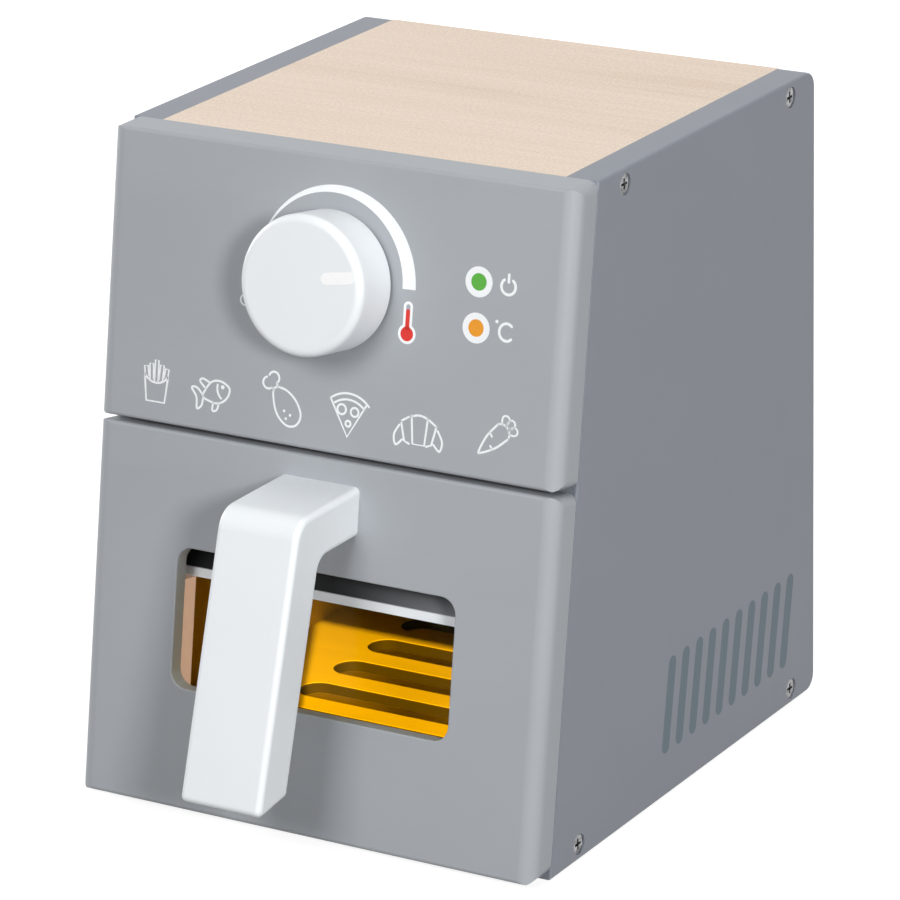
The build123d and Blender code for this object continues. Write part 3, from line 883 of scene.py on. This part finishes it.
def seen_directly(tree):
    """1 for the rays that see the surroundings, and 0 for those that carry light from them."""
    source = tree.nodes.new("ShaderNodeLightPath")
    value = source.outputs[SEEING_RAYS[0]]
    for name in SEEING_RAYS[1:]:
        larger = tree.nodes.new("ShaderNodeMath")
        larger.operation = "MAXIMUM"
        tree.links.new(value, larger.inputs[0])
        tree.links.new(source.outputs[name], larger.inputs[1])
        value = larger.outputs[0]
    return value


def make_floor():
    """A wide pale floor that stays near white round the object and keeps its shadow."""
    half = FLOOR_SIZE / 2
    mesh = bpy.data.meshes.new("floor")
    corners = [(x * half, y * half, -FLOOR_DROP) for x, y in ((-1, -1), (1, -1), (1, 1), (-1, 1))]
    mesh.from_pydata(corners, [], [(0, 1, 2, 3)])
    floor = bpy.data.objects.new("floor", mesh)
    bpy.context.scene.collection.objects.link(floor)
    shader = Shader("floor")
    shader.tree.nodes.remove(shader.principled)
    bounce = shader.node("ShaderNodeBsdfDiffuse")
    bounce.inputs["Color"].default_value = FLOOR_BOUNCE
    seen = shader.node("ShaderNodeBsdfDiffuse")
    seen.inputs["Color"].default_value = FLOOR_SHADE
    glow = shader.node("ShaderNodeEmission")
    glow.inputs["Color"].default_value = PURE_WHITE
    glow.inputs["Strength"].default_value = FLOOR_GLOW
    both = shader.node("ShaderNodeAddShader")
    shader.link(seen.outputs["BSDF"], both.inputs[0])
    shader.link(glow.outputs["Emission"], both.inputs[1])
    choose = shader.node("ShaderNodeMixShader")
    shader.link(seen_directly(shader.tree), choose.inputs[0])
    shader.link(bounce.outputs["BSDF"], choose.inputs[1])
    shader.link(both.outputs["Shader"], choose.inputs[2])
    shader.link(choose.outputs["Shader"], shader.output.inputs["Surface"])
    mesh.materials.append(shader.material)


def make_world():
    """Faint even light, and white where the camera or a reflection looks past the floor."""
    world = bpy.data.worlds.new("studio")
    bpy.context.scene.world = world
    world.use_nodes = True
    tree = world.node_tree
    tree.nodes.clear()
    ambient = tree.nodes.new("ShaderNodeBackground")
    ambient.inputs["Color"].default_value = AMBIENT_TINT
    ambient.inputs["Strength"].default_value = AMBIENT
    backdrop = tree.nodes.new("ShaderNodeBackground")
    backdrop.inputs["Color"].default_value = PURE_WHITE
    choose = tree.nodes.new("ShaderNodeMixShader")
    output = tree.nodes.new("ShaderNodeOutputWorld")
    tree.links.new(seen_directly(tree), choose.inputs[0])
    tree.links.new(ambient.outputs[0], choose.inputs[1])
    tree.links.new(backdrop.outputs[0], choose.inputs[2])
    tree.links.new(choose.outputs[0], output.inputs["Surface"])


def direction(azimuth, elevation):
    """The way from the object towards a place, azimuth 0 being in front of it."""
    a = math.radians(azimuth)
    e = math.radians(elevation)
    return Vector((math.sin(a) * math.cos(e), -math.cos(a) * math.cos(e), math.sin(e)))


def softbox(name, azimuth, elevation, distance, width, height, power):
    """A rectangular lamp that faces the object."""
    lamp_data = bpy.data.lights.new(name, "AREA")
    lamp_data.shape = "RECTANGLE"
    lamp_data.size = width
    lamp_data.size_y = height
    lamp_data.energy = power
    made = bpy.data.objects.new(name, lamp_data)
    way = direction(azimuth, elevation)
    made.location = CAMERA_TARGET + way * distance
    made.rotation_mode = "QUATERNION"
    made.rotation_quaternion = (-way).to_track_quat("-Z", "Y")
    bpy.context.scene.collection.objects.link(made)
    return made


def make_lights():
    """All lamps. The back one gives no highlights, and the window's lights two nodes only."""
    lamps = {name: softbox(name, *settings) for name, settings in LAMPS.items()}
    lamps["back_soft"].visible_glossy = False
    lit = bpy.data.collections.new("seen_through_the_window")
    for node_name in SEEN_THROUGH_WINDOW:
        lit.objects.link(NODES[node_name])
    lamps["window_key"].light_linking.receiver_collection = lit


def make_camera():
    """The photograph's viewpoint."""
    data = bpy.data.cameras.new("camera")
    data.lens = CAMERA_LENS
    data.sensor_width = CAMERA_SENSOR
    data.clip_start = CAMERA_NEAR
    data.clip_end = CAMERA_FAR
    camera = bpy.data.objects.new("camera", data)
    way = direction(CAMERA_AZIMUTH, CAMERA_ELEVATION)
    camera.location = CAMERA_TARGET + way * CAMERA_DISTANCE
    right = Vector((0, 0, 1)).cross(way).normalized()
    up = way.cross(right)
    roll = math.radians(CAMERA_ROLL)
    rolled_right = right * math.cos(roll) + up * math.sin(roll)
    rolled_up = up * math.cos(roll) - right * math.sin(roll)
    camera.rotation_mode = "QUATERNION"
    camera.rotation_quaternion = Matrix((rolled_right, rolled_up, way)).transposed().to_quaternion()
    bpy.context.scene.collection.objects.link(camera)
    bpy.context.scene.camera = camera


def main():
    """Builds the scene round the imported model."""
    bpy.context.scene.view_settings.view_transform = "Standard"
    make_camera()
    make_world()
    make_floor()
    make_lights()
    dress_nodes()
    print_marks()


main()
